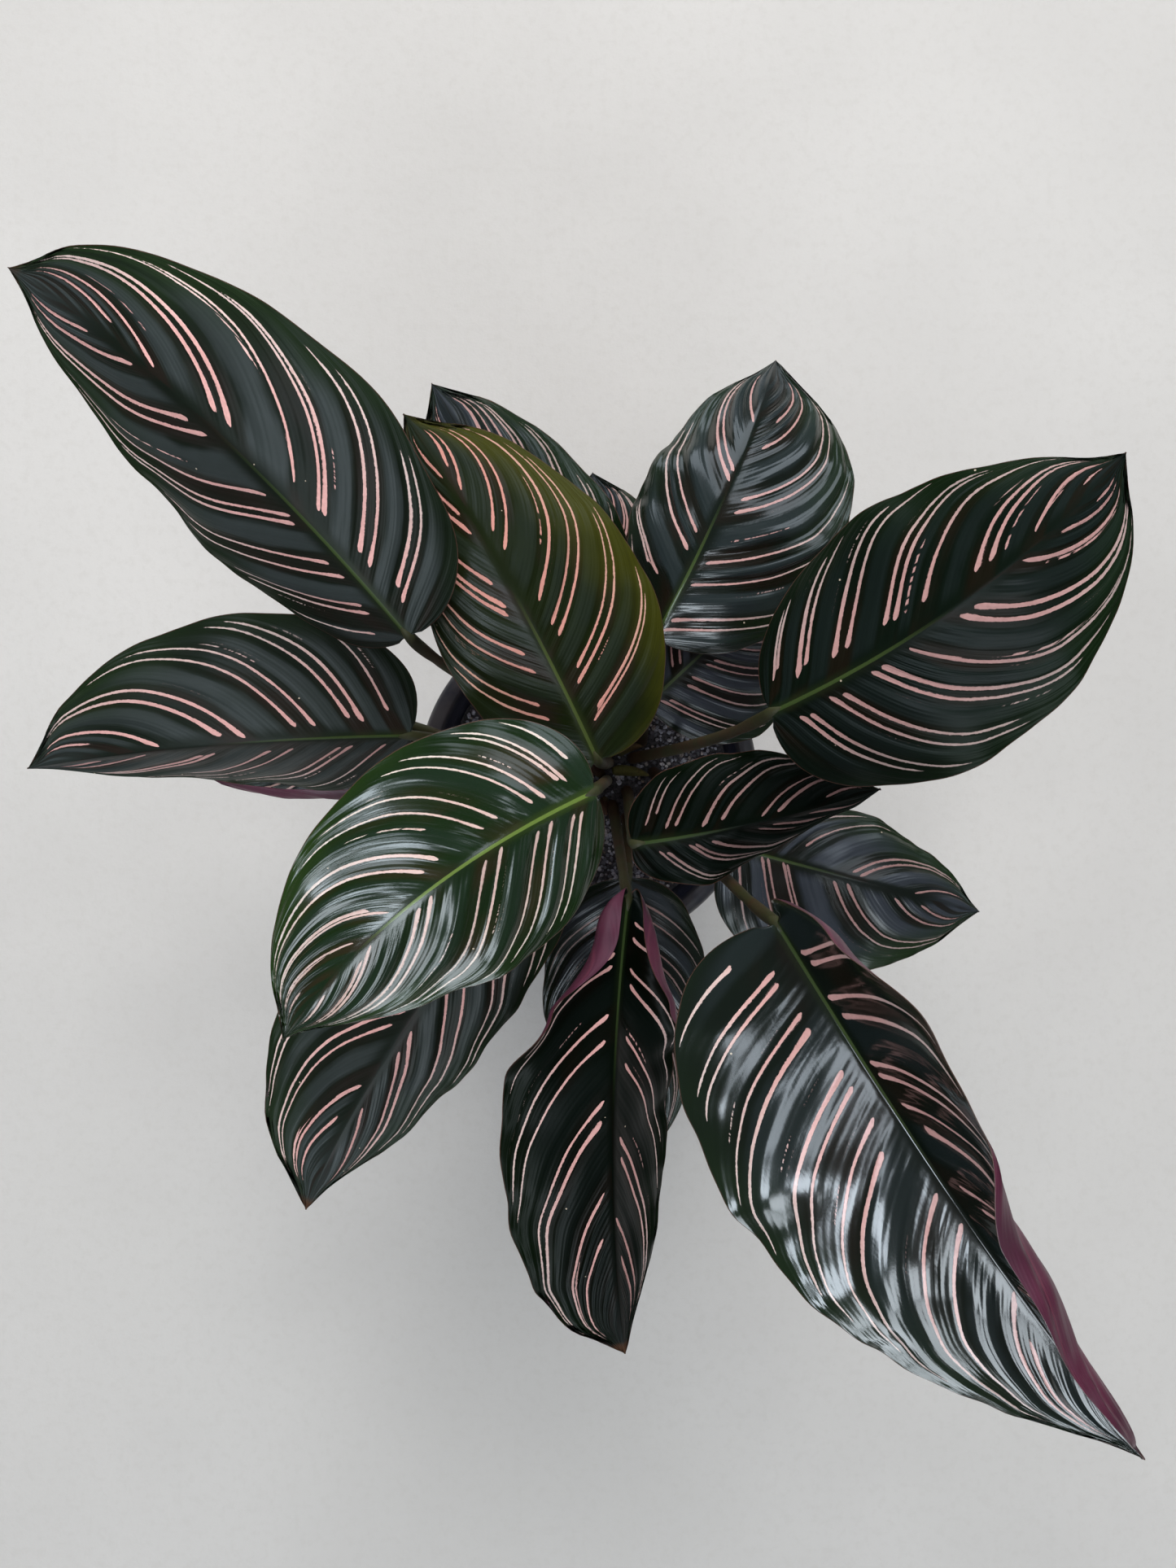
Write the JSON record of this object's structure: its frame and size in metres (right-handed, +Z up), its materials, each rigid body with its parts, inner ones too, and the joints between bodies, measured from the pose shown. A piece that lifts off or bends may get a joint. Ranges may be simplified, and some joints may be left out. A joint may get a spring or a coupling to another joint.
{
  "type": "potted pinstripe calathea",
  "caption": "Foliage plant with broad arching pink-striped dark leaves on slim stalks, rooted in gritty medium in a round tapered nursery pot.",
  "frame": {"origin": "middle of the pot's flat underside", "axes": "+Z up, +Y away from a viewer who sees the bright leaf's tip at the front left, +X to the right"},
  "size_m": [0.3893, 0.4146, 0.3809],
  "materials": {
    "leaf": "waxy gloss, near-black green with thin pink stripes above, plum purple below",
    "olive_leaf": "waxy gloss, olive green with thin pink stripes above, plum purple below",
    "bright_leaf": "high waxy gloss, fresh green with thin pale pink stripes above, plum purple below",
    "pot": "blue-black moulded plastic with a soft sheen",
    "soil": "loose blue-grey grit"
  },
  "bodies": {
    "root": {"pot": "pot", "soil": "soil", "leaf_01": "leaf", "leaf_02": "olive_leaf", "leaf_03": "leaf", "leaf_04": "bright_leaf", "leaf_05": "leaf", "leaf_06": "leaf", "leaf_07": "leaf", "leaf_08": "leaf", "leaf_09": "leaf", "leaf_10": "leaf", "leaf_11": "leaf", "leaf_12": "leaf", "leaf_13": "leaf", "leaf_14": "leaf", "leaf_15": "leaf", "leaf_16": "leaf"}
  },
  "joints": []
}
